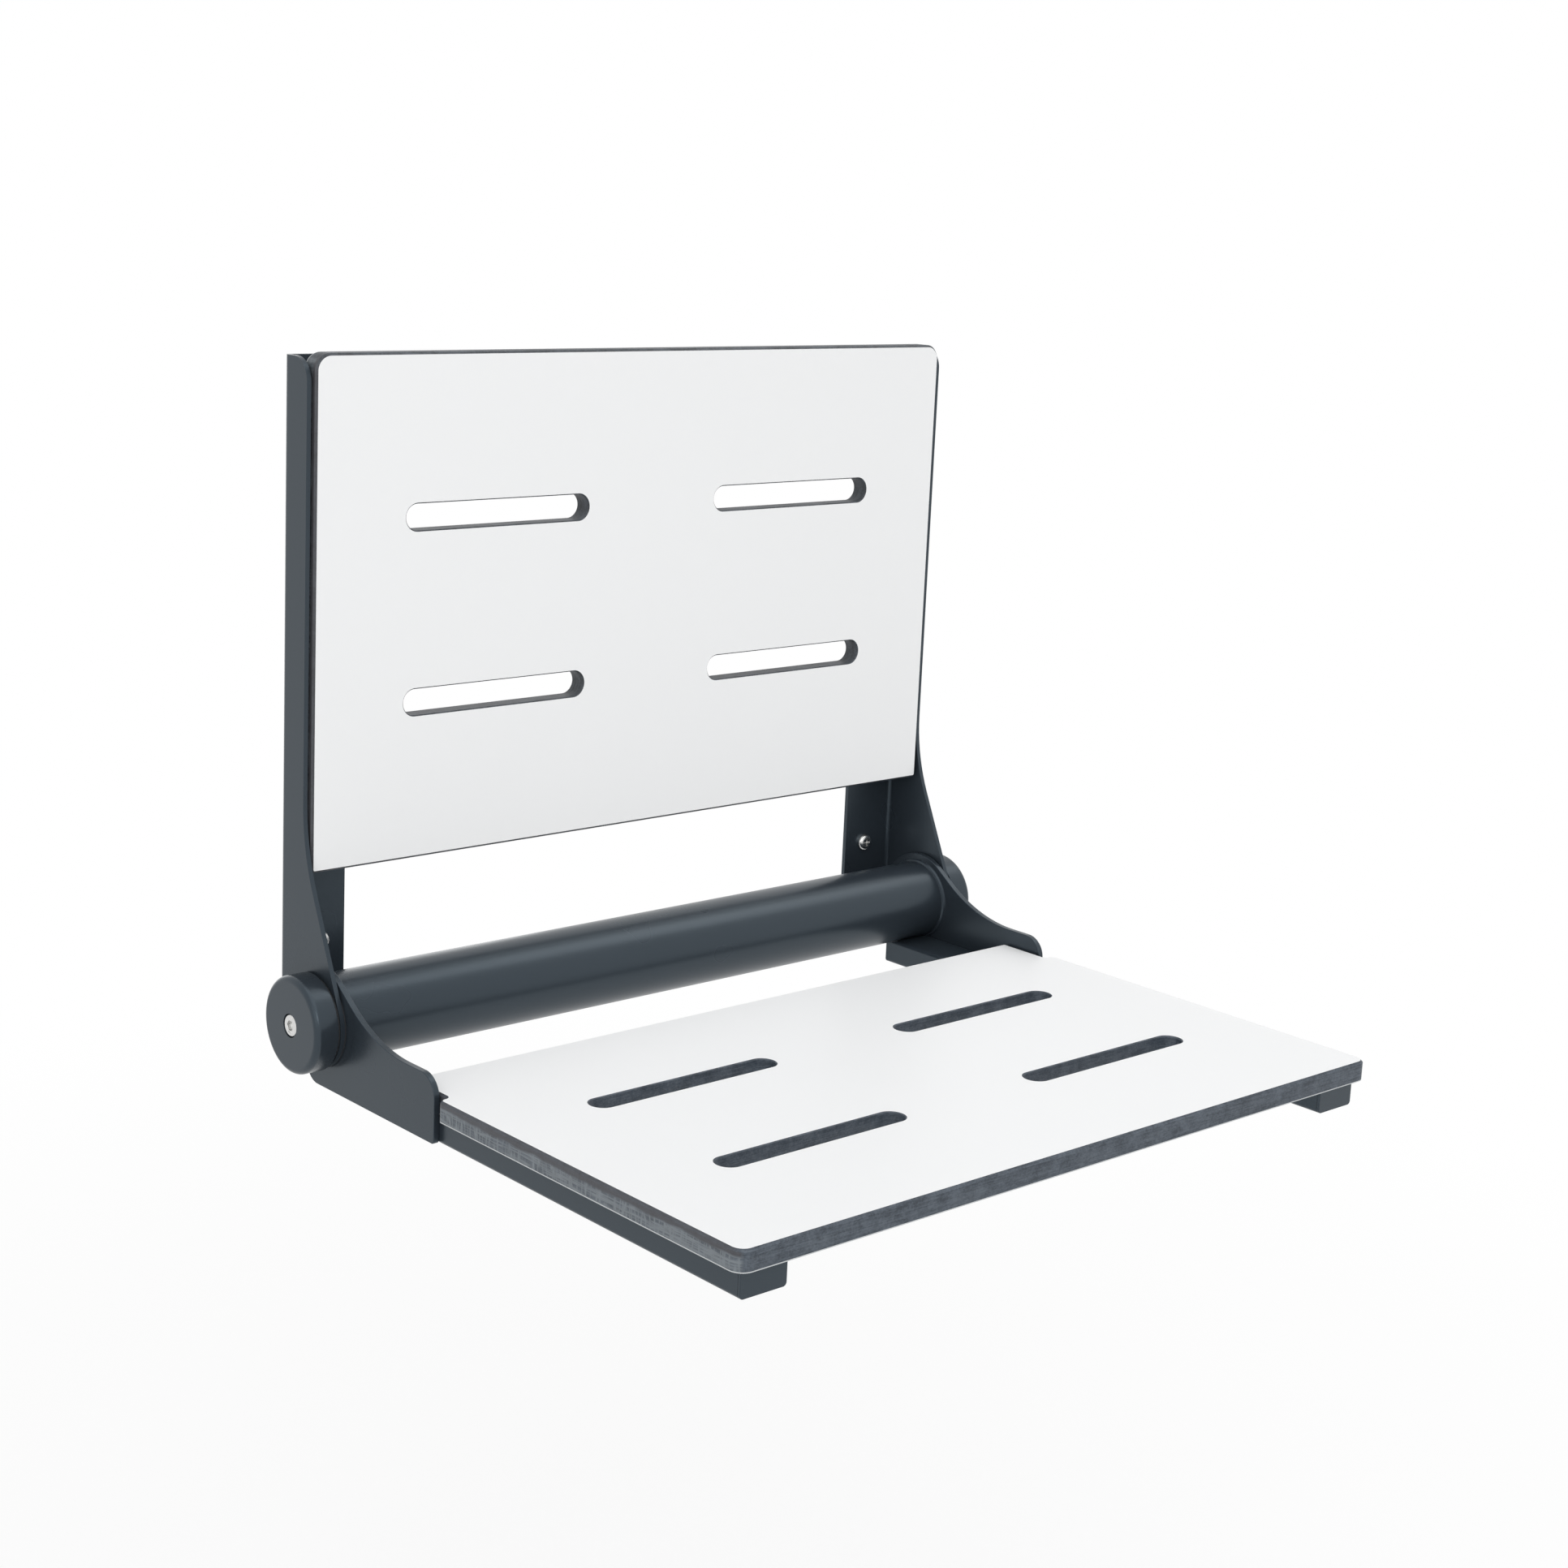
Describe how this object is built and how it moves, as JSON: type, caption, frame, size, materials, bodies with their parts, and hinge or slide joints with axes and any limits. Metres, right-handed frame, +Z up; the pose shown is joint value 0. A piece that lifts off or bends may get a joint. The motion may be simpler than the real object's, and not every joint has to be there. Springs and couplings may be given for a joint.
{
  "type": "fold down wall seat",
  "caption": "Wall mounted fold down seat with slotted white seat and backrest panels on a dark powder coated hinged steel frame.",
  "frame": {"origin": "centre of the four open wall holes, on the wall plane", "axes": "+X along the hinge axis to the sitter's left, +Y into the wall, +Z up"},
  "size_m": [0.56, 0.4363, 0.4466],
  "materials": {
    "frame_coat": "satin",
    "cap_coat": "satin",
    "panel_laminate": "satin",
    "stainless": "polished",
    "bare_steel": "turned",
    "bush_plastic": "matte",
    "friction_lining": "matte",
    "insert_brass": "machined",
    "plug_plastic": "matte"
  },
  "bodies": {
    "wall_frame": {"left_wall_bracket": "frame_coat", "right_wall_bracket": "frame_coat", "left_backrest_cleats": "frame_coat", "right_backrest_cleats": "frame_coat", "left_hinge_bush": "bush_plastic", "right_hinge_bush": "bush_plastic", "backrest_panel": "panel_laminate", "backrest_inserts": "insert_brass", "backrest_hanger_screws": "stainless", "wall_screws": "stainless"},
    "seat": {"left_arm_plate": "frame_coat", "right_arm_plate": "frame_coat", "left_arm_tube": "frame_coat", "right_arm_tube": "frame_coat", "left_arm_front_end": "frame_coat", "right_arm_front_end": "frame_coat", "left_arm_rear_end": "frame_coat", "right_arm_rear_end": "frame_coat", "left_tube_weld": "frame_coat", "right_tube_weld": "frame_coat", "left_axle": "bare_steel", "right_axle": "bare_steel", "left_stop_pin": "bare_steel", "right_stop_pin": "bare_steel", "left_friction_facing": "friction_lining", "right_friction_facing": "friction_lining", "left_friction_ring": "friction_lining", "right_friction_ring": "friction_lining", "left_disc_springs": "bare_steel", "right_disc_springs": "bare_steel", "left_end_cap": "cap_coat", "right_end_cap": "cap_coat", "left_cap_screw": "stainless", "right_cap_screw": "stainless", "cross_tube": "frame_coat", "seat_panel": "panel_laminate", "seat_inserts": "insert_brass", "seat_screws": "stainless", "arm_hole_plugs": "plug_plastic"}
  },
  "joints": [
    {"name": "seat_fold", "type": "hinge", "parent": "wall_frame", "child": "seat", "pos_m": [0, -0.042, -0.298], "axis": [-1, 0, 0], "range_deg": [0, 90]}
  ]
}
